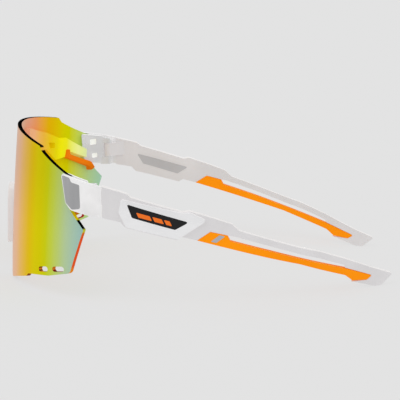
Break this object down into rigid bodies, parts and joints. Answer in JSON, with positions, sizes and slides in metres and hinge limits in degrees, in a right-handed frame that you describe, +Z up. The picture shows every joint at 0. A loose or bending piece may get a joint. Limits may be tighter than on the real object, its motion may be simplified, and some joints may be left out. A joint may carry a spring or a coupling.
{
  "type": "wraparound sport sunglasses",
  "caption": "Wraparound shield sunglasses with a mirrored one-piece lens, clear frame and folding temples with orange grips.",
  "frame": {"origin": "on the table, under the middle of the whole object's bounding box", "axes": "+X to the wearer's left, +Y from the lens to the temple tips, +Z up"},
  "size_m": [0.15, 0.1692, 0.0672],
  "materials": {
    "lens_mirror": "iridescent gold and teal mirror coat on clear plastic",
    "clear_plastic": "clear, slightly milky, satin",
    "orange_rubber": "soft matte",
    "black_badge": "satin",
    "orange_inlay": "satin",
    "grey_plate": "fine matte",
    "grey_window": "gloss",
    "clear_rubber": "translucent, soft",
    "steel": "turned"
  },
  "bodies": {
    "front": {"lens": "lens_mirror", "front_frame": "clear_plastic", "nose_clip": "clear_plastic", "nose_wire": "steel", "endpiece_cover_left": "clear_plastic", "brow_rail_left": "orange_rubber", "nose_pad_left": "clear_rubber", "hinge_screw_left": "steel", "hinge_nut_left": "steel", "endpiece_cover_right": "clear_plastic", "brow_rail_right": "orange_rubber", "nose_pad_right": "clear_rubber", "hinge_screw_right": "steel", "hinge_nut_right": "steel"},
    "left_temple": {"temple_left": "clear_plastic", "bezel_left": "clear_plastic", "badge_left": "black_badge", "emblem_left": "orange_inlay", "inner_plate_left": "grey_plate", "temple_grip_left": "orange_rubber", "grip_window_left": "grey_window"},
    "right_temple": {"temple_right": "clear_plastic", "bezel_right": "clear_plastic", "badge_right": "black_badge", "emblem_right": "orange_inlay", "inner_plate_right": "grey_plate", "temple_grip_right": "orange_rubber", "grip_window_right": "grey_window"}
  },
  "joints": [
    {"name": "left_temple_fold", "type": "hinge", "parent": "front", "child": "left_temple", "pos_m": [0.0663, -0.04292, 0.0442], "axis": [0, 0, 1], "range_deg": [0, 82]},
    {"name": "right_temple_fold", "type": "hinge", "parent": "front", "child": "right_temple", "pos_m": [-0.0663, -0.04292, 0.0442], "axis": [0, 0, -1], "range_deg": [0, 74]}
  ]
}
